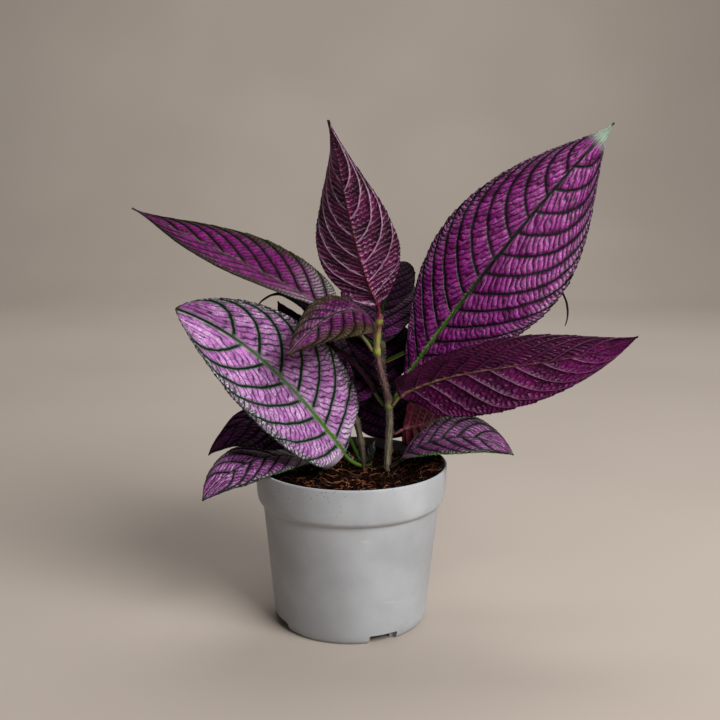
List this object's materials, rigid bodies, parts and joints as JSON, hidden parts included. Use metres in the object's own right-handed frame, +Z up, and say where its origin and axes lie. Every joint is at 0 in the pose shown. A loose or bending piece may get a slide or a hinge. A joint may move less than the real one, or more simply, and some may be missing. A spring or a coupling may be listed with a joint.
{
  "type": "potted plant",
  "caption": "Young Persian shield plant with large purple, dark-veined, quilted leaves, growing from potting soil in a round grey plastic nursery pot.",
  "frame": {"origin": "centre of the pot's underside, on the surface it stands on", "axes": "+Z up along the pot's axis, -Y towards the front of the plant, where the viewer stands, +X to the right"},
  "size_m": [0.3116, 0.1932, 0.3111],
  "materials": {
    "grey_plastic": "satin, lightly scuffed grey plastic",
    "potting_soil": "loose damp peat and coir fibre, crumbly",
    "stem_bark": "young green stem, browning low down, with short hairs",
    "leaf_purple": "quilted leaf, metallic purple between dark green veins",
    "leaf_maroon": "matt maroon leaf underside with raised veins"
  },
  "bodies": {
    "root": {"pot": "grey_plastic", "soil": "potting_soil", "stem_front": "stem_bark", "stem_back": "stem_bark", "stem_middle": "stem_bark", "stem_left": "stem_bark", "leaf_front_left": "leaf_purple", "leaf_right_tall": "leaf_purple", "leaf_top": "leaf_maroon", "leaf_left": "leaf_purple", "leaf_right_low": "leaf_maroon", "leaf_young_front": "leaf_purple", "leaf_rim_left": "leaf_purple", "leaf_rim_right": "leaf_purple", "leaf_shaded_left": "leaf_purple", "leaf_behind_left": "leaf_purple", "leaf_curled_tip": "leaf_purple", "leaf_crimson": "leaf_maroon", "leaf_right_behind": "leaf_purple", "leaf_dark_right": "leaf_purple", "leaf_inner": "leaf_purple", "leaf_inner_left": "leaf_purple", "leaf_back_left": "leaf_purple", "leaf_back_right": "leaf_purple", "leaf_back_low": "leaf_purple", "leaf_sprout": "leaf_purple"}
  },
  "joints": []
}
